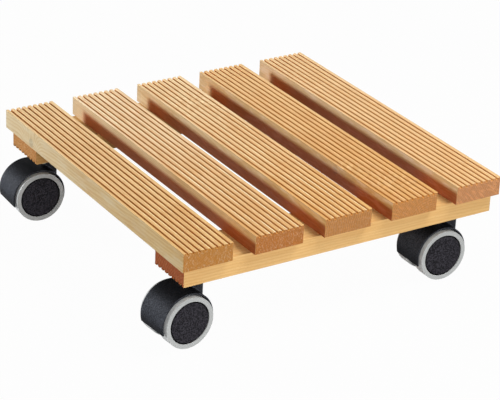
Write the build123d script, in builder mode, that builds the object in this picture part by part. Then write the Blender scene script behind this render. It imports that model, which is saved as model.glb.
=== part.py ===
from build123d import *
import os
from math import cos, radians, sin, tan

# A square slatted plant pot caddy on four twin-wheel swivel casters.
# X runs along the slats, Y runs from the front edge to the back edge, Z is up.
# The origin lies on the floor, under the middle of the deck. Lengths are in millimetres.

# Deck
deck_length = 290.0  # along the slats
deck_width = 290.0  # across the slats
slat_count = 5
slat_width = 42.5
slat_thickness = 15.5
batten_width = 42.5
batten_thickness = 15.5
batten_side_inset = 5.0  # from the slats' ends to the batten
batten_end_inset = 4.0  # from the deck's front and back edges to the batten's ends
arris_round = 1.2  # rounding of the long edges of slats and battens
end_chamfer = 0.3  # round the sawn ends

# Ribbed face of the boards
groove_count = 8
groove_edge_inset = 3.6  # from a board's long edge to the middle of its first groove
groove_width = 1.8
groove_depth = 1.7
groove_root_round = 0.7
ridge_round = 0.8

# Countersunk screws that hold each slat to each batten, driven from below
slat_screw_tip_cover = 4.7  # of wood over the screw's tip
slat_screw_radius = 1.9
slat_screw_head_radius = 3.9
slat_screw_cone_angle = 90.0
slat_screw_spacing = 18.8  # between the two screws of one crossing, along the slat
slat_screw_sink = 0.3  # how far the head lies inside the batten

# Pan-head screws that hold each caster's plate to the batten
caster_screw_tip_cover = 4.0
caster_screw_radius = 1.75
caster_screw_head_radius = 3.3
caster_screw_head_height = 1.9

# Details that both kinds of screw share
screw_point_length = 2.5
screw_hole_clearance = 0.08  # round a screw's shank
screw_hole_extra_depth = 0.6
drill_overrun = 0.5  # of the countersinking drill outside the batten, before and after the cut
drive_recess_width = 0.9
drive_recess_span = 3.6
drive_recess_depth = 1.1

# Caster, from the floor up
wheel_radius = 21.0  # also the height of the axle
caster_height = 54.0  # from the floor to the batten's underside
caster_end_inset = 23.0  # from the batten's end to the caster's swivel axis
caster_trail = 16.0  # from the swivel axis to the axle
plate_size = 35.0
plate_thickness = 2.0
plate_corner_radius = 4.0
plate_hole_inset = 4.5  # from the plate's edges to the middle of each hole
plate_hole_clearance = 0.25

# Kingpin and the snap ring that keeps the housing on it
pin_radius = 3.0
pin_tip_above_axle = 5.0
pin_flange_overhang = 2.2
pin_flange_thickness = 1.2
pin_tip_chamfer = 0.8
pin_fit = 0.02  # between pin and plate, riveted together
swivel_clearance = 0.08  # running fit of the pin in the housing
swivel_gap = 0.4  # between the pin's flange and the housing's neck
ring_height = 1.0
ring_above_tip = 3.0
ring_slot_depth = 0.5  # of the slot for the ring in the pin
ring_wall = 1.05
ring_split = 1.2
ring_clearance = 0.1

# Housing with its hood
hood_gap = 0.9  # round the treads
hood_wall = 1.2
hood_length = 29.0
hood_skirt = 6.0  # how far the hood reaches below the axle
hood_rim_round = 0.4
neck_radius = 5.8
neck_chamfer = 0.6
neck_foot_round = 1.2
web_thickness = 9.6  # wall between the two wheels
boss_radius = 6.5
boss_height = 0.2  # of the thrust faces beside the wheel hubs
bore_extra_depth = 1.0

# Axle
axle_radius = 2.0
axle_end_recess = 0.2  # of the axle's ends inside the hubs
axle_fit = 0.02  # between axle and housing, pressed together
axle_end_chamfer = 0.3
axle_slot_depth = 0.3
axle_slot_width = 1.4
axle_slot_end_distance = 0.8  # from the axle's end to its slot

# Wheels
wheel_clearance = 0.08  # running fit of the hub on the axle
wheel_side_gap = 0.3  # between the thrust face and the hub
hub_radius = 5.0
hub_length = 10.1
hub_bead_height = 0.2  # of the bead that snaps into the axle's slot
hub_bead_clearance = 0.2
disc_thickness = 2.0
disc_setback = 3.2  # from the rim's inner end to the disc
spoke_count = 9  # ribs on the disc's inner face
spoke_thickness = 1.2
spoke_setback = 0.9  # of the ribs inside the rim's inner end
tread_depth = 3.5  # from the rim to the running surface
rim_wall = 1.3
rim_setback = 0.5  # from the hub's inner end to the rim
rim_width = 10.8
tread_fit = 0.02  # between rim and tread
tread_overhang = 0.8  # of the tread past the rim's outer end
tread_outer_round = 2.9
tread_inner_round = 1.2
tread_lip_round = 0.5

# Caps
cap_setback = 1.1  # of the cap's edge inside the rim's edge
cap_thickness = 1.2
cap_dome = 0.3
cap_edge_round = 0.45
cap_skirt_wall = 1.1
cap_skirt_length = 3.0
cap_fit = 0.05

# Corner of the deck, its side in X and Y, and how the caster stands at rest in degrees
casters = [
    ("front_left", -1, -1, -2.5),
    ("front_right", 1, -1, 4.3),
    ("back_right", 1, 1, -1.0),
    ("back_left", -1, 1, 2.0),
]

# Heights above the floor
batten_bottom = caster_height
batten_top = batten_bottom + batten_thickness
plate_bottom = caster_height - plate_thickness
neck_top = plate_bottom - pin_flange_thickness - swivel_gap
pin_tip = wheel_radius + pin_tip_above_axle
ring_bottom = pin_tip + ring_above_tip

# Radii
hood_radius = wheel_radius + hood_gap + hood_wall
rim_radius = wheel_radius - tread_depth
cap_radius = rim_radius - cap_setback
ring_slot_radius = pin_radius - ring_slot_depth
ring_inner_radius = ring_slot_radius + ring_clearance
ring_outer_radius = ring_inner_radius + ring_wall

# Distances from the caster's middle, along the axle
thrust_face = web_thickness / 2 + boss_height
hub_start = thrust_face + wheel_side_gap
hub_end = hub_start + hub_length
rim_start = hub_start + rim_setback
rim_end = rim_start + rim_width
axle_end = hub_end - axle_end_recess
axle_slot_end = axle_end - axle_slot_end_distance
axle_slot_start = axle_slot_end - axle_slot_width

# Screws
slat_screw_length = batten_thickness + slat_thickness - slat_screw_sink - slat_screw_tip_cover
caster_screw_length = plate_thickness + batten_thickness - caster_screw_tip_cover
plate_hole_spacing = plate_size - 2 * plate_hole_inset

# Places on the deck
slat_pitch = (deck_width - slat_width) / (slat_count - 1)
slat_centres = [slat_pitch * (i - (slat_count - 1) / 2) for i in range(slat_count)]
batten_offset = deck_length / 2 - batten_side_inset - batten_width / 2
batten_length = deck_width - 2 * batten_end_inset
caster_offset_x = batten_offset
caster_offset_y = batten_length / 2 - caster_end_inset
crossing_screws = [
    (side * batten_offset + end * slat_screw_spacing / 2, y)
    for side in (-1, 1)
    for y in slat_centres
    for end in (-1, 1)
]
plate_screws = [
    (
        side_x * caster_offset_x + i * plate_hole_spacing / 2,
        side_y * caster_offset_y + j * plate_hole_spacing / 2,
    )
    for _, side_x, side_y, _ in casters
    for i in (-1, 1)
    for j in (-1, 1)
]


def save(piece, name):
    piece.part.label = name
    export_step(piece.part, f"parts/{name}.step")


def from_below(x, y, height):
    """A plane at the given height that faces down, for holes drilled from below."""
    return Plane(origin=(x, y, height), x_dir=(1, 0, 0), z_dir=(0, 0, -1))


# ---------------------------------------------------------------- boards


def draw_board(width, thickness):
    """Cross-section of a board, centred, with its ribbed face at the top."""
    Rectangle(width, thickness)
    first_groove = -width / 2 + groove_edge_inset
    groove_pitch = (width - 2 * groove_edge_inset) / (groove_count - 1)
    with Locations([(first_groove + i * groove_pitch, thickness / 2) for i in range(groove_count)]):
        RectangleRounded(groove_width, 2 * groove_depth, groove_root_round, mode=Mode.SUBTRACT)


def round_board(section):
    """Rounds the four long edges of the board and both edges of each groove."""
    top = section.vertices().group_by(Axis.Y)[-1].sort_by(Axis.X)
    bottom = section.vertices().group_by(Axis.Y)[0]
    fillet(top[1:-1], ridge_round)
    fillet([top[0], top[-1]] + list(bottom), arris_round)


def make_slat(name, y):
    end = Plane(
        origin=(-deck_length / 2, y, batten_top + slat_thickness / 2),
        x_dir=(0, 1, 0),
        z_dir=(1, 0, 0),
    )
    pilot_depth = slat_screw_length + slat_screw_sink - batten_thickness + screw_hole_extra_depth
    with BuildPart() as slat:
        with BuildSketch(end) as section:
            draw_board(slat_width, slat_thickness)
            round_board(section)
        extrude(amount=deck_length)
        sawn_ends = slat.faces().filter_by(Axis.X).group_by(Axis.X)
        chamfer(sawn_ends[0].edges() + sawn_ends[-1].edges(), end_chamfer)
        with Locations([from_below(x, at, batten_top) for x, at in crossing_screws if at == y]):
            Hole(slat_screw_radius + screw_hole_clearance, depth=pilot_depth)
    save(slat, name)


def make_batten(name, side):
    """A batten lies across the slats with its ribbed face down."""
    end = Plane(
        origin=(side * batten_offset, -batten_length / 2, batten_bottom + batten_thickness / 2),
        x_dir=(1, 0, 0),
        z_dir=(0, 1, 0),
    )
    head_hole_radius = (
        slat_screw_head_radius
        + (slat_screw_sink + drill_overrun) * tan(radians(slat_screw_cone_angle / 2))
        + screw_hole_clearance
    )
    pilot_depth = caster_screw_length - plate_thickness + screw_hole_extra_depth
    with BuildPart() as batten:
        with BuildSketch(end) as section:
            draw_board(batten_width, batten_thickness)
            round_board(section)
        extrude(amount=batten_length)
        sawn_ends = batten.faces().filter_by(Axis.Y).group_by(Axis.Y)
        chamfer(sawn_ends[0].edges() + sawn_ends[-1].edges(), end_chamfer)
        drill_start = batten_bottom - drill_overrun
        with Locations([from_below(x, y, drill_start) for x, y in crossing_screws if x * side > 0]):
            CounterSinkHole(
                radius=slat_screw_radius + screw_hole_clearance,
                counter_sink_radius=head_hole_radius,
                depth=batten_thickness + 2 * drill_overrun,
                counter_sink_angle=slat_screw_cone_angle,
            )
        with Locations([from_below(x, y, batten_bottom) for x, y in plate_screws if x * side > 0]):
            Hole(caster_screw_radius + screw_hole_clearance, depth=pilot_depth)
    save(batten, name)


# ---------------------------------------------------------------- screws


def build_screw(head_outline, shank_radius, tip):
    """A screw that points up, with the face of its head at the origin.

    head_outline runs from the rim of the head's face to the shank.
    """
    with BuildPart() as screw:
        with BuildSketch(Plane.XZ):
            with BuildLine():
                Polyline(
                    (0, 0),
                    *head_outline,
                    (shank_radius, tip - screw_point_length),
                    (0, tip),
                    close=True,
                )
            make_face()
        revolve(axis=Axis.Z)
        with BuildSketch(Plane.XY):
            Rectangle(drive_recess_span, drive_recess_width)
            Rectangle(drive_recess_width, drive_recess_span)
        extrude(amount=drive_recess_depth, mode=Mode.SUBTRACT)
    return screw.part


def make_slat_screws():
    cone_tangent = tan(radians(slat_screw_cone_angle / 2))
    cone_height = (slat_screw_head_radius - slat_screw_radius) / cone_tangent
    screw = build_screw(
        [(slat_screw_head_radius, 0), (slat_screw_radius, cone_height)],
        slat_screw_radius,
        slat_screw_length,
    )
    with BuildPart() as screws:
        with Locations([(x, y, batten_bottom + slat_screw_sink) for x, y in crossing_screws]):
            add(screw)
    save(screws, "slat_screws")


def make_caster_screws():
    head_face = plate_bottom - caster_screw_head_height
    head_slope = caster_screw_head_height / 2
    screw = build_screw(
        [
            (caster_screw_head_radius - head_slope, 0),
            (caster_screw_head_radius, head_slope),
            (caster_screw_head_radius, caster_screw_head_height),
            (caster_screw_radius, caster_screw_head_height),
        ],
        caster_screw_radius,
        caster_screw_head_height + caster_screw_length,
    )
    with BuildPart() as screws:
        with Locations([(x, y, head_face) for x, y in plate_screws]):
            add(screw)
    save(screws, "caster_screws")


# ---------------------------------------------------------------- casters


def caster_frame(side_x, side_y, turn):
    """The caster's frame, on the floor under its swivel axis: X along the axle, Y ahead of it."""
    return Plane(
        origin=(side_x * caster_offset_x, side_y * caster_offset_y, 0),
        x_dir=(cos(radians(turn)), sin(radians(turn)), 0),
        z_dir=(0, 0, 1),
    )


def swivel_axis(frame):
    return Axis(frame.origin, frame.z_dir)


def axle_axis(frame):
    return Axis(across_axle(frame, 0).origin, frame.x_dir)


def beside_swivel(frame):
    """An upright plane through the swivel axis: local X is the radius, local Y the height."""
    return Plane(origin=frame.origin, x_dir=frame.x_dir, z_dir=-frame.y_dir)


def across_axle(frame, distance):
    """A plane square to the axle, this far along it from the caster's middle."""
    centre = frame.from_local_coords((distance, -caster_trail, wheel_radius))
    return Plane(origin=centre, x_dir=frame.y_dir, z_dir=frame.x_dir)


def along_axle(frame, side):
    """An upright plane through the axle: local X runs outwards, local Y is the radius."""
    return Plane(
        origin=across_axle(frame, 0).origin,
        x_dir=frame.x_dir * side,
        z_dir=frame.y_dir * -side,
    )


def make_mount_plate(name, side_x, side_y):
    underside = Plane((side_x * caster_offset_x, side_y * caster_offset_y, plate_bottom))
    with BuildPart() as plate:
        with BuildSketch(underside):
            RectangleRounded(plate_size, plate_size, plate_corner_radius)
            Circle(pin_radius + pin_fit, mode=Mode.SUBTRACT)
            with GridLocations(plate_hole_spacing, plate_hole_spacing, 2, 2):
                Circle(caster_screw_radius + plate_hole_clearance, mode=Mode.SUBTRACT)
        extrude(amount=plate_thickness)
    save(plate, name)


def make_kingpin(name, frame):
    """The pin is riveted flush into the plate and has a slot for the snap ring near its tip."""
    flange_bottom = plate_bottom - pin_flange_thickness
    slot_bottom = ring_bottom - ring_clearance
    slot_top = ring_bottom + ring_height + ring_clearance
    flange_radius = pin_radius + pin_flange_overhang
    with BuildPart() as pin:
        with BuildSketch(beside_swivel(frame)):
            with BuildLine():
                Polyline(
                    (0, pin_tip),
                    (pin_radius - pin_tip_chamfer, pin_tip),
                    (pin_radius, pin_tip + pin_tip_chamfer),
                    (pin_radius, slot_bottom),
                    (ring_slot_radius, slot_bottom),
                    (ring_slot_radius, slot_top),
                    (pin_radius, slot_top),
                    (pin_radius, flange_bottom),
                    (flange_radius, flange_bottom),
                    (flange_radius, plate_bottom),
                    (pin_radius, plate_bottom),
                    (pin_radius, caster_height),
                    (0, caster_height),
                    close=True,
                )
            make_face()
        revolve(axis=swivel_axis(frame))
    save(pin, name)


def make_snap_ring(name, frame):
    with BuildPart() as ring:
        with BuildSketch(frame.offset(ring_bottom)):
            Circle(ring_outer_radius)
            Circle(ring_inner_radius, mode=Mode.SUBTRACT)
            with Locations((0, -ring_outer_radius)):
                Rectangle(ring_split, 2 * ring_outer_radius, mode=Mode.SUBTRACT)
        extrude(amount=ring_height)
    save(ring, name)


def make_housing(name, frame):
    """A hood over both wheels, a web between them, and a neck with the bore for the kingpin."""
    bore_radius = pin_radius + swivel_clearance
    ring_bay_radius = ring_outer_radius + ring_clearance
    ring_bay_bottom = ring_bottom - ring_clearance
    ring_bay_top = ring_bottom + ring_height + ring_clearance
    bore_bottom = pin_tip - bore_extra_depth
    with BuildPart() as housing:
        with BuildSketch(across_axle(frame, -hood_length / 2)):
            Circle(hood_radius)
            with Locations((0, -hood_skirt - hood_radius)):
                Rectangle(2 * hood_radius, 2 * hood_radius, mode=Mode.SUBTRACT)
        extrude(amount=hood_length)
        with BuildSketch(frame.offset(wheel_radius)):
            Circle(neck_radius)
        extrude(amount=neck_top - wheel_radius)
        curved_edges = housing.edges().filter_by(GeomType.CIRCLE, reverse=True)
        fillet(curved_edges.filter_by(GeomType.LINE, reverse=True), neck_foot_round)
        for side in (-1, 1):
            with BuildSketch(across_axle(frame, side * web_thickness / 2)):
                Circle(hood_radius - hood_wall)
            extrude(amount=side * hood_length, mode=Mode.SUBTRACT)
        with BuildSketch(across_axle(frame, -thrust_face)):
            Circle(boss_radius)
        extrude(amount=2 * thrust_face)
        with BuildSketch(beside_swivel(frame)):
            with BuildLine():
                Polyline(
                    (0, bore_bottom),
                    (bore_radius, bore_bottom),
                    (bore_radius, ring_bay_bottom),
                    (ring_bay_radius, ring_bay_bottom),
                    (ring_bay_radius, ring_bay_top),
                    (bore_radius, ring_bay_top),
                    (bore_radius, neck_top),
                    (0, neck_top),
                    close=True,
                )
            make_face()
        revolve(axis=swivel_axis(frame), mode=Mode.SUBTRACT)
        with Locations(across_axle(frame, thrust_face)):
            Hole(axle_radius + axle_fit, depth=2 * thrust_face)
        arcs = housing.edges().filter_by(GeomType.CIRCLE)
        fillet(arcs.filter_by(lambda arc: abs(arc.radius - hood_radius) < 0.001), hood_rim_round)
        neck_rim = housing.edges().filter_by(GeomType.CIRCLE).group_by(Axis.Z)[-1].sort_by(SortBy.RADIUS)
        chamfer(neck_rim[-1], neck_chamfer)
    save(housing, name)


def make_axle(name, frame):
    """The axle has a slot near each end, into which a wheel hub snaps."""
    slot_radius = axle_radius - axle_slot_depth
    with BuildPart() as axle:
        with BuildSketch(along_axle(frame, 1)):
            with BuildLine() as half_outline:
                Polyline(
                    (0, axle_radius),
                    (axle_slot_start, axle_radius),
                    (axle_slot_start, slot_radius),
                    (axle_slot_end, slot_radius),
                    (axle_slot_end, axle_radius),
                    (axle_end - axle_end_chamfer, axle_radius),
                    (axle_end, axle_radius - axle_end_chamfer),
                    (axle_end, 0),
                )
                mirror(half_outline.line, about=Plane.YZ)
                Line((-axle_end, 0), (axle_end, 0))
            make_face()
        revolve(axis=axle_axis(frame))
    save(axle, name)


# ---------------------------------------------------------------- wheels


def make_wheel(name, frame, side):
    """Hub, spoked disc and rim in one piece; a bead in the hub snaps into the axle's slot."""
    bore = axle_radius + wheel_clearance
    bead_start = axle_slot_start + hub_bead_clearance
    bead_end = axle_slot_end - hub_bead_clearance
    disc_start = rim_start + disc_setback
    disc_end = disc_start + disc_thickness
    rim_inside = rim_radius - rim_wall
    with BuildPart() as wheel:
        with BuildSketch(along_axle(frame, side)):
            with BuildLine():
                Polyline(
                    (hub_start, bore),
                    (hub_start, hub_radius),
                    (disc_start, hub_radius),
                    (disc_start, rim_inside),
                    (rim_start, rim_inside),
                    (rim_start, rim_radius),
                    (rim_end, rim_radius),
                    (rim_end, rim_inside),
                    (disc_end, rim_inside),
                    (disc_end, hub_radius),
                    (hub_end, hub_radius),
                    (hub_end, bore),
                    (bead_end, bore),
                    (bead_end - hub_bead_height, bore - hub_bead_height),
                    (bead_start + hub_bead_height, bore - hub_bead_height),
                    (bead_start, bore),
                    close=True,
                )
            make_face()
        revolve(axis=axle_axis(frame))
        with BuildSketch(across_axle(frame, side * (rim_start + spoke_setback))):
            with PolarLocations((hub_radius + rim_inside) / 2, spoke_count):
                Rectangle(rim_inside - hub_radius + rim_wall, spoke_thickness)
        extrude(amount=side * (disc_setback - spoke_setback + disc_thickness / 2))
    save(wheel, name)


def make_tread(name, frame, side):
    """A soft tyre with a full round shoulder outside and a small one inside."""
    inside = rim_radius + tread_fit
    with BuildPart() as tread:
        with BuildSketch(along_axle(frame, side)) as section:
            with Locations((rim_start, inside)):
                Rectangle(rim_width + tread_overhang, wheel_radius - inside, align=Align.MIN)
            inner_end = section.vertices().group_by(Axis.X)[0].sort_by(Axis.Y)
            outer_end = section.vertices().group_by(Axis.X)[-1].sort_by(Axis.Y)
            fillet(inner_end[-1], tread_inner_round)
            fillet(outer_end[-1], tread_outer_round)
            fillet(outer_end[0], tread_lip_round)
        revolve(axis=axle_axis(frame))
    save(tread, name)


def make_cap(name, frame, side):
    """A slightly domed cap, seated on the rim's end, with a skirt that plugs into the rim."""
    face = rim_end + cap_thickness
    skirt_outside = rim_radius - rim_wall - cap_fit
    skirt_inside = skirt_outside - cap_skirt_wall
    with BuildPart() as cap:
        with BuildSketch(along_axle(frame, side)) as section:
            with BuildLine():
                dome = TangentArc((face, 0), (face - cap_dome, cap_radius), tangent=(0, 1))
                Polyline(
                    dome @ 1,
                    (rim_end, cap_radius),
                    (rim_end, skirt_outside),
                    (rim_end - cap_skirt_length, skirt_outside),
                    (rim_end - cap_skirt_length, skirt_inside),
                    (rim_end, skirt_inside),
                    (rim_end, 0),
                    (face, 0),
                )
            make_face()
            rim_corner = section.vertices().group_by(Axis.Y)[-1].sort_by(Axis.X)[-1]
            fillet(rim_corner, cap_edge_round)
        revolve(axis=axle_axis(frame))
    save(cap, name)


# ---------------------------------------------------------------- assembly

os.makedirs("parts", exist_ok=True)

for number, y in enumerate(slat_centres, start=1):
    make_slat(f"slat_{number}", y)
make_batten("batten_left", -1)
make_batten("batten_right", 1)
make_slat_screws()
make_caster_screws()

for corner, side_x, side_y, turn in casters:
    frame = caster_frame(side_x, side_y, turn)
    make_mount_plate(f"mount_plate_{corner}", side_x, side_y)
    make_kingpin(f"kingpin_{corner}", frame)
    make_snap_ring(f"snap_ring_{corner}", frame)
    make_housing(f"housing_{corner}", frame)
    make_axle(f"axle_{corner}", frame)
    for place, side in (("outer", side_x), ("inner", -side_x)):
        make_wheel(f"wheel_{corner}_{place}", frame, side)
        make_tread(f"tread_{corner}_{place}", frame, side)
        make_cap(f"cap_{corner}_{place}", frame, side)
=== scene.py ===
import math

import bpy
from mathutils import Matrix, Vector


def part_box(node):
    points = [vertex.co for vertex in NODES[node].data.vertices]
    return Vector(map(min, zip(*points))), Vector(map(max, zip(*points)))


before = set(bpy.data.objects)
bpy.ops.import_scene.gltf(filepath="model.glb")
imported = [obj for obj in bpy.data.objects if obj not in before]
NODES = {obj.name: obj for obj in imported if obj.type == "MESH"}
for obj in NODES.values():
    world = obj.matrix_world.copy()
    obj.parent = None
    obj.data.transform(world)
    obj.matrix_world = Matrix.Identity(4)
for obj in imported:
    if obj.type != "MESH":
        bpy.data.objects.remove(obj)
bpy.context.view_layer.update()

CORNERS = ("front_left", "front_right", "back_right", "back_left")
SIDES = ("outer", "inner")
SLATS = [f"slat_{number}" for number in range(1, 6)]
MM = 0.001

# The grooves between the ridges of a board, in millimetres
GROOVE_INSET = 3.6  # from a board's long edge to the middle of its first groove
GROOVE_COUNT = 8
GROOVE_DEPTH = 1.7
MILLED_INSET = 2.4  # from a long edge to where the marks of the milling start

# How deep under a side or an end its finish starts, and how deep it is at its full, in millimetres
SKIN_START = 0.12
SKIN_FULL = 0.04

# Painted shade: the tint that darkens and reddens the lower part of the front (-1) and back (1)
# sides that face another board
PAINTED_GAP_SHADE = {-1: (0.80, 0.39, 0.30, 1.0), 1: (0.84, 0.58, 0.48, 1.0)}

# The floor's own grey, and how bright the camera sees it
FLOOR_GREY = 0.34
FLOOR_SEEN = 0.975

# The strength of the studio's walls, which look fully white only straight on and in reflections
AMBIENT = 0.08


# ------------------------------------------------------------------ shader maths


class Signal:
    """A socket that can be added, subtracted, multiplied and divided like a number."""

    def __init__(self, finish, socket):
        self.finish = finish
        self.socket = socket

    def __add__(self, other):
        return self.finish.math("ADD", self, other)

    def __sub__(self, other):
        return self.finish.math("SUBTRACT", self, other)

    def __rsub__(self, other):
        return self.finish.math("SUBTRACT", other, self)

    def __mul__(self, other):
        return self.finish.math("MULTIPLY", self, other)

    def __truediv__(self, other):
        return self.finish.math("DIVIDE", self, other)

    def __abs__(self):
        return self.finish.math("ABSOLUTE", self)

    __radd__ = __add__
    __rmul__ = __mul__


class Finish:
    """A node material under construction, or the world's."""

    def __init__(self, name, data=None):
        self.data = data or bpy.data.materials.new(name)
        self.data.use_nodes = True
        self.tree = self.data.node_tree
        self.tree.nodes.clear()

    def node(self, kind, settings=None, sockets=None, output=0):
        """Adds a node: its settings first, then the values or links of its sockets."""
        made = self.tree.nodes.new(kind)
        for key, value in (settings or {}).items():
            setattr(made, key, value)
        for key, value in (sockets or {}).items():
            if isinstance(value, Signal):
                self.tree.links.new(value.socket, made.inputs[key])
            else:
                made.inputs[key].default_value = value
        return Signal(self, made.outputs[output]) if made.outputs else made

    def math(self, operation, *values):
        return self.node("ShaderNodeMath", {"operation": operation}, dict(enumerate(values)))

    def vector(self, operation, *values, output=0):
        settings = {"operation": operation}
        return self.node("ShaderNodeVectorMath", settings, dict(enumerate(values)), output)

    def axis(self, where, name):
        return self.node("ShaderNodeSeparateXYZ", None, {0: where}, "XYZ".index(name))

    def mix(self, amount, first, second, blend="MIX"):
        """Goes from the first colour to the second."""
        settings = {"data_type": "RGBA", "blend_type": blend}
        return self.node("ShaderNodeMix", settings, {0: amount, 6: first, 7: second}, 2)

    def step(self, value, low, high):
        """Rises smoothly from 0 at low to 1 at high."""
        settings = {"interpolation_type": "SMOOTHSTEP"}
        sockets = {0: value, 1: low, 2: high, 3: 0.0, 4: 1.0}
        return self.node("ShaderNodeMapRange", settings, sockets)

    def band(self, value, rise, fall):
        """1 between a smooth rise and a smooth fall, each given by where it starts and ends."""
        return self.step(value, *rise) * (1.0 - self.step(value, *fall))

    def bell(self, away, reach):
        """1 at no distance, and next to nothing at twice the reach."""
        return self.math("EXPONENT", (away * away) * (-1.0 / reach**2))

    def noise(self, where, stretch, detail=2.0, roughness=0.5):
        """Noise with so many features per unit along each axis."""
        scaled = self.vector("MULTIPLY", where, stretch)
        sockets = {"Vector": scaled, "Scale": 1.0, "Detail": detail, "Roughness": roughness}
        return self.node("ShaderNodeTexNoise", None, sockets)

    def millimetres(self, centre=(0.0, 0.0, 0.0), turn=(0.0, 0.0, 0.0)):
        """The piece's own coordinates, in millimetres from a centre."""
        where = self.node("ShaderNodeTexCoord", None, None, "Object")
        sockets = {"Vector": where, "Location": centre, "Rotation": turn, "Scale": (MM, MM, MM)}
        return self.node("ShaderNodeMapping", {"vector_type": "TEXTURE"}, sockets)

    def bump(self, height, strength, distance):
        sockets = {"Height": height, "Strength": strength, "Distance": distance}
        return self.node("ShaderNodeBump", None, sockets)

    def surface(self, sockets):
        """Ends the finish with the shader and the output, and gives the material."""
        shader = self.node("ShaderNodeBsdfPrincipled", None, sockets)
        self.node("ShaderNodeOutputMaterial", None, {"Surface": shader})
        return self.data


def linear(share):
    """The light behind a share of full brightness on a screen."""
    return ((share + 0.055) / 1.055) ** 2.4 if share > 0.04045 else share / 12.92


def rgb(red, green, blue):
    """A colour given as it looks on a screen, from 0 to 255."""
    return tuple(linear(part / 255) for part in (red, green, blue)) + (1.0,)


def tint(colour, factor):
    """The colour made lighter or darker."""
    return tuple(min(1.0, part * factor) for part in colour[:3]) + (1.0,)


# ------------------------------------------------------------------ wood


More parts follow.
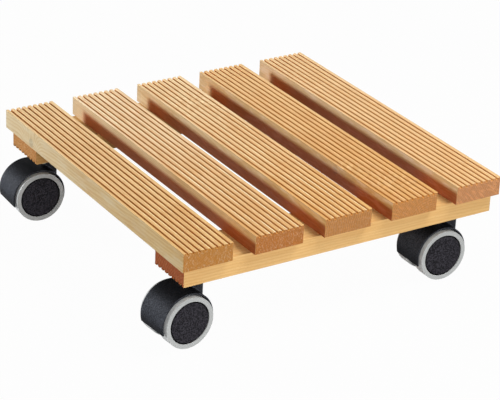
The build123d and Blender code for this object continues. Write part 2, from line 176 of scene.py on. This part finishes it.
class Board(Finish):
    """Oiled softwood for one ribbed board, cut from a trunk whose pith lies beside the board.

    along is the axis of the grain and ribs the side of the board that is milled, 1 above and
    -1 below. u, v and w run along, across and up from the board's middle, in millimetres.
    """

    def __init__(self, node, along, ribs, seed, timber):
        super().__init__(f"{node}_wood")
        low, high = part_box(node)
        size = (high - low) / MM
        self.length, self.width = (size.x, size.y) if along == "X" else (size.y, size.x)
        self.thickness = size.z
        self.seed = seed
        self.timber = timber
        turn = (0.0, 0.0, 0.0) if along == "X" else (0.0, 0.0, math.pi / 2)
        self.local = self.millimetres(tuple((low + high) / 2), turn)
        apart = (seed * 531.0, seed * 77.0, seed * 43.0)
        self.place = self.vector("ADD", self.local, apart)
        self.u, self.v, self.w = (self.axis(self.local, name) for name in "XYZ")
        self.depth = (self.thickness / 2) - self.w * ribs

    def skin(self, distance, half):
        """1 on the surface that lies half a length or width from the middle, else 0."""
        return self.step(distance, half - SKIN_START, half - SKIN_FULL)

    def grow(self):
        """Growth rings round the pith, wandering along the board and bent round its knots."""
        pith_across, pith_above, drift = self.timber["pith"]
        wander = self.noise(self.place, (0.006, 0.022, 0.022)) * 9.0
        ripple = self.noise(self.place, (0.03, 0.12, 0.12)) * 1.6
        self.across = self.v - pith_across + self.u * drift
        self.above = self.w - pith_above
        away = self.math("SQRT", self.across * self.across + self.above * self.above)
        self.radius = away + wander + ripple
        self.heart = 0.0
        for *middle, reach in self.timber.get("knots", ()):
            away = self.vector("DISTANCE", self.local, middle, output=1)
            self.radius = self.radius + self.bell(away, reach * 2.6) * (reach * 2.2)
            frayed = away + (self.noise(self.place, (0.5, 0.5, 0.5)) - 0.5) * 2.0
            core = 1.0 - self.step(frayed, reach * 0.55, reach * 1.1)
            self.heart = self.math("MAXIMUM", self.heart, core)
        year = self.math("FRACT", self.radius / self.timber["ring"])
        self.late = self.band(year, (0.3, 0.9), (0.93, 1.0))

    def draw_grain(self):
        """Fibres, broad tones, pores and the hearts of the knots."""
        early, late_tone = self.timber["early"], self.timber["late"]
        self.fibre = self.noise(self.place, (0.045, 2.6, 2.6), 4.0, 0.6)
        self.pores = self.step(self.noise(self.place, (0.35, 4.2, 4.2)), 0.62, 0.74)
        streak = self.noise(self.place, (0.01, 0.55, 0.55), 3.0, 0.6)
        cloud = self.noise(self.place, (0.02, 0.06, 0.06), 3.0)
        colour = self.mix(self.late * 0.5, early, late_tone)
        colour = self.mix(self.step(streak, 0.4, 0.75) * 0.35, colour, late_tone)
        colour = self.mix(self.step(cloud, 0.45, 0.7) * 0.3, colour, late_tone)
        colour = self.mix(self.step(self.fibre, 0.52, 0.72) * 0.3, colour, tint(early, 1.12))
        colour = self.mix(self.pores * 0.3, colour, tint(late_tone, 0.5))
        if "knots" in self.timber:
            colour = self.mix(self.heart * 0.5, colour, rgb(168, 150, 122))

        # Painted light: the colour grows warmer towards one end, standing in for warmer light
        # falling there
        painted_warm_light = self.step(self.u + (cloud - 0.5) * 90.0, -self.length / 2, self.length / 2)
        return self.mix(painted_warm_light, colour, self.timber["drift"], "MULTIPLY")

    def mill_ribs(self, colour):
        """Each ridge has its own streaks, a painted highlight along one edge and painted shade
        over the rest of its top, and the grooves are darker and more orange.
        """
        early, late_tone = self.timber["early"], self.timber["late"]
        pitch = (self.width - 2 * GROOVE_INSET) / (GROOVE_COUNT - 1)
        ridge = (self.v + (self.width / 2 - GROOVE_INSET)) / pitch
        within = self.math("FRACT", ridge)
        sockets = {0: self.u, 1: self.math("FLOOR", ridge) * 37.0, 2: self.seed * 91.0}
        lane = self.node("ShaderNodeCombineXYZ", None, sockets)
        painted_sheen = self.step(self.noise(lane, (0.016, 1.0, 1.0), 4.0, 0.65), 0.42, 0.6)
        dull = self.step(self.noise(lane, (0.03, 2.0, 2.0), 3.0, 0.6), 0.5, 0.66)
        # Painted highlight: a cream line along one edge of each ridge top, varied by noise;
        # painted shade darkens the rest of the top, with darker streaks
        edge = self.band(within, (0.48, 0.66), (0.76, 0.86))
        milled = self.step(self.width / 2 - MILLED_INSET - abs(self.v), 0.0, 0.3)
        on_top = milled * (1.0 - self.step(self.depth, 0.5, 0.9))
        bottom = (GROOVE_DEPTH + 0.1, GROOVE_DEPTH + 0.5)
        self.in_groove = milled * self.band(self.depth, (0.3, 0.95), bottom)
        colour = self.mix(on_top * edge * (painted_sheen * 0.75 + 0.15), colour, tint(early, 1.3))
        colour = self.mix(on_top * (1.0 - edge) * (dull * 0.35 + 0.25), colour, late_tone)
        return self.mix(self.in_groove * 0.88, colour, self.timber["groove"])

    def fleck(self, colour):
        """Pale flecks and waves where the saw has followed the rays."""
        for along, across, reach in self.timber.get("flecks", ()):
            middle = (along, across, self.thickness / 2)
            patch = self.bell(self.vector("DISTANCE", self.local, middle, output=1), reach)
            fleck = self.step(self.noise(self.place, (0.16, 0.34, 0.34), 3.0, 0.6), 0.5, 0.62)
            wave = self.step(self.noise(self.place, (0.5, 0.12, 0.12)), 0.45, 0.6)
            colour = self.mix(patch * fleck * 0.6, colour, tint(self.timber["early"], 1.15))
            colour = self.mix(patch * wave * 0.3, colour, tint(self.timber["late"], 0.8))
        return colour

    def plane_sides(self, colour):
        """Planed sides. Those that face another board get painted shade low down, darker and
        redder there.
        """
        timber = self.timber
        side = self.skin(abs(self.v), self.width / 2)
        smear = self.noise(self.place, (0.045, 0.22, 0.22), 4.0, 0.6)
        colour = self.mix(side, colour, timber["side"], "MULTIPLY")
        bloom_and_highlight = side * self.step(smear, 0.42, 0.7) * timber["smear"]
        colour = self.mix(bloom_and_highlight, colour, timber["bloom_and_highlight"])
        # Painted shade low down on each side that faces another board, kept off the first 14 to 26
        # mm from one end, where the cast shadow starts
        for facing in timber["hidden"]:
            hidden = self.skin(self.v * facing, self.width / 2)
            low_down = self.step(self.depth + (smear - 0.5) * 1.5, 3.5, 8.0)
            in_cast_shadow = self.step(self.u + self.length / 2, 14.0, 26.0)
            colour = self.mix(hidden * low_down * in_cast_shadow, colour, PAINTED_GAP_SHADE[facing], "MULTIPLY")
        return colour

    def saw_ends(self, colour):
        """Sawn ends soak up more oil and show rings, rays and the saw's marks."""
        timber, tone = self.timber, self.timber["end"]
        self.end = self.skin(abs(self.u), self.length / 2)
        self.torn = self.noise(self.place, (0.1, 1.1, 1.1), 4.0, 0.7)
        angle = self.math("ARCTAN2", self.above, self.across)
        sockets = {0: angle * 36.0, 1: self.radius, 2: self.seed * 17.0}
        spoke = self.node("ShaderNodeCombineXYZ", None, sockets)
        rays = self.step(self.noise(spoke, (1.0, 0.12, 1.0), 3.0, 0.6), 0.48, 0.64)
        speckle = self.step(self.noise(self.place, (0.1, 1.3, 0.5), 3.0, 0.65), 0.5, 0.68)
        sawn = self.mix(self.late * timber["rings"], tone, tint(tone, 0.62))
        sawn = self.mix(rays * timber["rays"], sawn, tint(tone, 1.45))
        sawn = self.mix(self.step(self.torn, 0.45, 0.7) * 0.35, sawn, tint(tone, 0.6))
        sawn = self.mix(speckle * timber["speckle"], sawn, timber["bloom_and_highlight"])
        return self.mix(self.end, colour, sawn)

    def oiled(self):
        """The whole finish, from the trunk to the sawn ends."""
        self.grow()
        colour = self.mill_ribs(self.draw_grain())
        colour = self.saw_ends(self.plane_sides(self.fleck(colour)))
        rough_end = self.end * (self.torn * 1.6 + self.late * 0.6)
        height = self.late * 0.5 + self.fibre * 0.5 - self.pores * 0.6 + rough_end
        roughness = 0.6 - self.late * 0.06 + self.end * 0.15 + self.in_groove * 0.1
        return self.surface(
            {
                "Base Color": colour,
                "Roughness": roughness,
                "Specular IOR Level": 0.2,
                "Normal": self.bump(height, 0.35, 0.0004),
            }
        )


# ------------------------------------------------------------------ plastics, rubber and steel


def hood_plastic():
    """Black moulded plastic with a leather grain, its upper faces painted lighter as a highlight.
    """
    finish = Finish("hood_plastic")
    where = finish.millimetres()
    grain = finish.noise(where, (1.1, 1.1, 1.1), 4.0, 0.7)
    fine = finish.noise(where, (2.2, 2.2, 2.2), 2.0, 0.6)
    sockets = {"Vector": where, "Scale": 1.3, "Smoothness": 0.5}
    cells = finish.node("ShaderNodeTexVoronoi", {"feature": "SMOOTH_F1"}, sockets)
    rubbed = finish.noise(where, (0.1, 0.1, 0.1), 3.0, 0.6)
    normal = finish.node("ShaderNodeTexCoord", None, None, "Normal")
    lean = finish.axis(normal, "Z")
    spots = finish.step(grain, 0.4, 0.64)
    # Painted highlight: faces that lean upwards get a lighter grey, with lighter glints in the
    # grain
    upward = finish.band(lean, (-0.3, 0.35), (0.55, 0.95))
    bloom_and_highlight = upward * (finish.step(rubbed, 0.3, 0.7) * 0.4 + 0.6)
    black = finish.mix(spots, rgb(14, 15, 18), rgb(34, 35, 39))
    highlight_grey = finish.mix(spots, rgb(56, 58, 64), rgb(92, 95, 104))
    colour = finish.mix(bloom_and_highlight, black, highlight_grey)
    colour = finish.mix(finish.step(fine, 0.56, 0.7) * bloom_and_highlight * 0.5, colour, rgb(122, 126, 136))
    height = grain * 0.6 + cells * 0.6
    roughness = 0.5 + finish.step(rubbed, 0.35, 0.7) * 0.1 + grain * 0.06
    return finish.surface(
        {
            "Base Color": colour,
            "Roughness": roughness,
            "Specular IOR Level": 0.03,
            "Normal": finish.bump(height, 0.4, 0.0003),
        }
    )


def wheel_plastic():
    """Plain black moulding for hubs and rims, a little scuffed."""
    finish = Finish("wheel_plastic")
    where = finish.millimetres()
    scuff = finish.noise(where, (0.3, 0.3, 0.3), 4.0, 0.7)
    grain = finish.noise(where, (3.0, 3.0, 3.0), 2.0)
    colour = finish.mix(finish.step(scuff, 0.45, 0.75), rgb(3, 3, 4), rgb(10, 10, 12))
    roughness = 0.6 + scuff * 0.25
    return finish.surface(
        {
            "Base Color": colour,
            "Roughness": roughness,
            "Specular IOR Level": 0.05,
            "Normal": finish.bump(grain, 0.2, 0.0001),
        }
    )


def cap_plastic():
    """Charcoal plastic with a mottled, spark-eroded face."""
    finish = Finish("cap_plastic")
    where = finish.millimetres()
    mottle = finish.noise(where, (0.85, 0.85, 0.85), 4.0, 0.7)
    pits = finish.noise(where, (2.4, 2.4, 2.4), 2.0, 0.6)
    colour = finish.mix(finish.step(mottle, 0.41, 0.61), rgb(15, 15, 18), rgb(60, 58, 65))
    colour = finish.mix(finish.step(pits, 0.58, 0.72) * 0.35, colour, rgb(80, 79, 87))
    roughness = 0.6 + finish.step(pits, 0.4, 0.7) * 0.15
    height = pits * 0.7 + mottle * 0.5
    return finish.surface(
        {
            "Base Color": colour,
            "Roughness": roughness,
            "Specular IOR Level": 0.06,
            "Normal": finish.bump(height, 0.5, 0.0003),
        }
    )


def tread_rubber():
    """Soft light grey rubber with a satin skin and a little dust, its curved running surface
    painted lighter than its flat flanks.
    """
    finish = Finish("tread_rubber")
    where = finish.millimetres()
    dust = finish.noise(where, (0.25, 0.25, 0.25), 4.0, 0.65)
    skin = finish.noise(where, (2.4, 2.4, 2.4), 3.0, 0.6)
    normal = finish.node("ShaderNodeTexCoord", None, None, "Normal")
    # Painted light and shade: the curved running surface and shoulders get a lighter grey than the
    # flat flanks
    painted_light_flank_mask = finish.step(abs(finish.axis(normal, "X")), 0.7, 0.98)
    colour = finish.mix(painted_light_flank_mask, rgb(232, 234, 235), rgb(180, 183, 184))
    colour = finish.mix(finish.step(dust, 0.4, 0.75) * 0.5, colour, rgb(176, 177, 176))
    colour = finish.mix(finish.step(skin, 0.45, 0.75) * 0.2, colour, rgb(166, 168, 169))
    roughness = 0.4 + dust * 0.16
    return finish.surface(
        {
            "Base Color": colour,
            "Roughness": roughness,
            "Specular IOR Level": 0.3,
            "Normal": finish.bump(skin, 0.15, 0.0001),
        }
    )


def steel(name, light, dark, roughness):
    """Zinc-plated or turned steel with fine rubbed marks."""
    finish = Finish(name)
    where = finish.millimetres()
    blotch = finish.noise(where, (0.35, 0.35, 0.35), 3.0, 0.6)
    scratch = finish.noise(where, (0.4, 9.0, 9.0), 3.0, 0.6)
    colour = finish.mix(finish.step(blotch, 0.35, 0.7), light, dark)
    rough = roughness + finish.step(blotch, 0.4, 0.7) * 0.12 + scratch * 0.08
    return finish.surface(
        {
            "Base Color": colour,
            "Metallic": 1.0,
            "Roughness": rough,
            "Normal": finish.bump(scratch, 0.12, 0.0001),
        }
    )


def dress(nodes, material):
    """Gives the nodes one material."""
    for node in nodes:
        mesh = NODES[node].data
        mesh.materials.clear()
        mesh.materials.append(material)


# Colours and growth of each board, with lengths in millimetres and amounts from 0 to 1.
# pith: how far across and above the board's middle it lies, and its drift along the board
# ring: a year's growth; early and late: the tones of spring and summer wood
# groove, end, side, bloom: tones of the grooves, the sawn ends, the sides and their dull patches
# drift: the tint of painted warmer light at the far end; hidden: the sides that face another
# board, which get painted shade low down
# smear, rings, rays, speckle: how strongly each shows
# knots: along, across and above the middle, and reach; flecks: along, across and reach
TIMBER = {
    "slat_1": {
        "pith": (30.0, -34.0, 0.03),
        "ring": 1.7,
        "early": rgb(236, 207, 160),
        "late": rgb(210, 164, 108),
        "groove": rgb(190, 126, 50),
        "end": rgb(180, 122, 58),
        "drift": (0.95, 0.84, 0.64, 1.0),
        "side": (0.86, 0.92, 0.98, 1.0),
        "bloom_and_highlight": rgb(222, 208, 176),
        "hidden": (1,),
        "smear": 0.45,
        "rings": 0.35,
        "rays": 0.2,
        "speckle": 0.3,
        "knots": [(-99.0, -21.25, -3.6, 4.4)],
    },
    "slat_2": {
        "pith": (-12.0, 46.0, -0.02),
        "ring": 1.5,
        "early": rgb(243, 220, 184),
        "late": rgb(216, 174, 122),
        "groove": rgb(200, 138, 68),
        "end": rgb(172, 108, 52),
        "drift": (0.88, 0.70, 0.44, 1.0),
        "side": (0.77, 0.75, 0.69, 1.0),
        "bloom_and_highlight": rgb(224, 196, 160),
        "hidden": (-1, 1),
        "smear": 0.35,
        "rings": 0.4,
        "rays": 0.3,
        "speckle": 0.35,
    },
    "slat_3": {
        "pith": (-62.0, -12.0, 0.04),
        "ring": 1.6,
        "early": rgb(243, 219, 178),
        "late": rgb(216, 172, 116),
        "groove": rgb(202, 136, 62),
        "end": rgb(186, 128, 72),
        "drift": (0.88, 0.68, 0.40, 1.0),
        "side": (0.77, 0.75, 0.69, 1.0),
        "bloom_and_highlight": rgb(226, 204, 176),
        "hidden": (-1, 1),
        "smear": 0.45,
        "rings": 0.75,
        "rays": 0.2,
        "speckle": 0.2,
        "flecks": [(-92.0, 4.0, 26.0)],
    },
    "slat_4": {
        "pith": (10.0, -24.0, -0.05),
        "ring": 1.9,
        "early": rgb(231, 198, 146),
        "late": rgb(216, 168, 112),
        "groove": rgb(204, 140, 66),
        "end": rgb(190, 130, 72),
        "drift": (0.90, 0.74, 0.50, 1.0),
        "side": (0.77, 0.74, 0.70, 1.0),
        "bloom_and_highlight": rgb(228, 206, 180),
        "hidden": (-1, 1),
        "smear": 0.45,
        "rings": 0.6,
        "rays": 0.5,
        "speckle": 0.2,
        "knots": [(66.0, -21.25, 2.0, 4.0)],
        "flecks": [(112.0, 2.0, 20.0), (78.0, -16.0, 16.0)],
    },
    "slat_5": {
        "pith": (-46.0, 38.0, 0.02),
        "ring": 1.8,
        "early": rgb(235, 205, 160),
        "late": rgb(218, 172, 116),
        "groove": rgb(206, 144, 74),
        "end": rgb(192, 134, 88),
        "drift": (0.97, 0.90, 0.78, 1.0),
        "side": (0.77, 0.74, 0.70, 1.0),
        "bloom_and_highlight": rgb(232, 206, 182),
        "hidden": (-1,),
        "smear": 0.45,
        "rings": 0.6,
        "rays": 0.55,
        "speckle": 0.2,
    },
    "batten_left": {
        "pith": (20.0, 30.0, 0.02),
        "ring": 1.9,
        "early": rgb(226, 184, 122),
        "late": rgb(204, 150, 84),
        "groove": rgb(150, 92, 40),
        "end": rgb(186, 126, 64),
        "drift": (0.97, 0.94, 0.90, 1.0),
        "side": (0.82, 0.74, 0.62, 1.0),
        "bloom_and_highlight": rgb(216, 178, 126),
        "hidden": (),
        "smear": 0.25,
        "rings": 0.4,
        "rays": 0.3,
        "speckle": 0.5,
    },
    "batten_right": {
        "pith": (-36.0, -24.0, 0.03),
        "ring": 2.1,
        "early": rgb(232, 190, 128),
        "late": rgb(214, 162, 94),
        "groove": rgb(150, 90, 38),
        "end": rgb(158, 78, 34),
        "drift": (1.0, 1.0, 1.0, 1.0),
        "side": (1.0, 1.0, 1.0, 1.0),
        "bloom_and_highlight": rgb(226, 184, 120),
        "hidden": (),
        "smear": 0.25,
        "rings": 0.4,
        "rays": 0.2,
        "speckle": 0.15,
    },
}


def dress_boards():
    for seed, (node, timber) in enumerate(TIMBER.items(), start=1):
        along, ribs = ("X", 1) if node in SLATS else ("Y", -1)
        dress([node], Board(node, along, ribs, seed, timber).oiled())


def dress_casters():
    wheels = [f"{corner}_{side}" for corner in CORNERS for side in SIDES]
    dress([f"housing_{corner}" for corner in CORNERS], hood_plastic())
    dress([f"wheel_{wheel}" for wheel in wheels], wheel_plastic())
    dress([f"cap_{wheel}" for wheel in wheels], cap_plastic())
    dress([f"tread_{wheel}" for wheel in wheels], tread_rubber())
    zinc = steel("plate_zinc", rgb(200, 203, 206), rgb(160, 165, 172), 0.34)
    turned = steel("pin_steel", rgb(180, 182, 186), rgb(150, 152, 158), 0.28)
    yellow = steel("screw_steel", rgb(205, 190, 150), rgb(170, 160, 135), 0.32)
    dress([f"mount_plate_{corner}" for corner in CORNERS], zinc)
    for kind in ("kingpin", "snap_ring", "axle"):
        dress([f"{kind}_{corner}" for corner in CORNERS], turned)
    dress(["slat_screws", "caster_screws"], yellow)


# ------------------------------------------------------------------ floor, light and camera


def seen(finish):
    """1 where a surface is seen straight, mirrored or through glass, else 0."""
    straight, mirrored, through = (
        finish.node("ShaderNodeLightPath", None, None, f"Is {kind} Ray")
        for kind in ("Camera", "Glossy", "Transmission")
    )
    return finish.math("MAXIMUM", finish.math("MAXIMUM", straight, mirrored), through)


def lay_floor():
    """A pale floor that keeps a light shadow; from below it isn't there."""
    bpy.ops.object.select_all(action="DESELECT")
    bpy.ops.mesh.primitive_plane_add(size=30.0, location=(0.0, 0.0, 0.0))
    floor = bpy.context.object
    floor.name = "floor"
    finish = Finish("pale_floor")
    grey = (FLOOR_GREY, FLOOR_GREY, FLOOR_GREY, 1.0)
    paint = finish.node("ShaderNodeBsdfDiffuse", None, {"Color": grey})
    sockets = {"Color": (1.0, 1.0, 1.0, 1.0), "Strength": 1.0}
    white = finish.node("ShaderNodeEmission", None, sockets)
    sockets = {0: seen(finish) * FLOOR_SEEN, 1: paint, 2: white}
    pale = finish.node("ShaderNodeMixShader", None, sockets)
    below = finish.node("ShaderNodeNewGeometry", None, None, "Backfacing")
    clear = finish.node("ShaderNodeBsdfTransparent")
    shader = finish.node("ShaderNodeMixShader", None, {0: below, 1: pale, 2: clear})
    finish.node("ShaderNodeOutputMaterial", None, {"Surface": shader})
    floor.data.materials.append(finish.data)


def light_studio():
    """White walls all round, and three square lamps aimed at the caddy."""
    scene = bpy.context.scene
    scene.world = bpy.data.worlds.new("studio")
    finish = Finish("studio", scene.world)
    strength = seen(finish) * (1.0 - AMBIENT) + AMBIENT
    sockets = {"Color": (1.0, 1.0, 1.0, 1.0), "Strength": strength}
    sky = finish.node("ShaderNodeBackground", None, sockets)
    finish.node("ShaderNodeOutputWorld", None, {"Surface": sky})
    aim = Vector((0.0, 0.0, 0.05))
    lamps = [
        ("window", (-1.15, -1.05, 0.37), 0.24, 20.0, (0.97, 0.99, 1.0)),
        ("ceiling", (0.45, 0.65, 1.5), 0.85, 25.5, (1.0, 0.99, 0.96)),
        ("side", (1.65, -0.35, 0.34), 0.6, 17.5, (1.0, 0.99, 0.97)),
    ]
    for name, place, width, power, colour in lamps:
        data = bpy.data.lights.new(name, "AREA")
        data.shape = "SQUARE"
        data.size = width
        data.energy = power
        data.color = colour
        lamp = bpy.data.objects.new(name, data)
        lamp.location = place
        lamp.rotation_euler = (aim - Vector(place)).to_track_quat("-Z", "Y").to_euler()
        scene.collection.objects.link(lamp)


def set_camera():
    """A long lens, looking down at the front right corner."""
    azimuth, elevation, roll = (math.radians(angle) for angle in (56.85, 25.92, 2.76))
    aim = Vector((0.0143, -0.0047, 0.0407))
    distance = 1.7148
    turn = (
        Matrix.Rotation(azimuth, 4, "Z")
        @ Matrix.Rotation(math.pi / 2 - elevation, 4, "X")
        @ Matrix.Rotation(roll, 4, "Z")
    )
    data = bpy.data.cameras.new("camera")
    data.lens = 152.5
    data.sensor_width = 36.0
    camera = bpy.data.objects.new("camera", data)
    camera.matrix_world = Matrix.Translation(aim) @ turn @ Matrix.Translation((0.0, 0.0, distance))
    bpy.context.scene.collection.objects.link(camera)
    bpy.context.scene.camera = camera


set_camera()
dress_boards()
dress_casters()
lay_floor()
light_studio()
bpy.context.scene.view_settings.view_transform = "Standard"
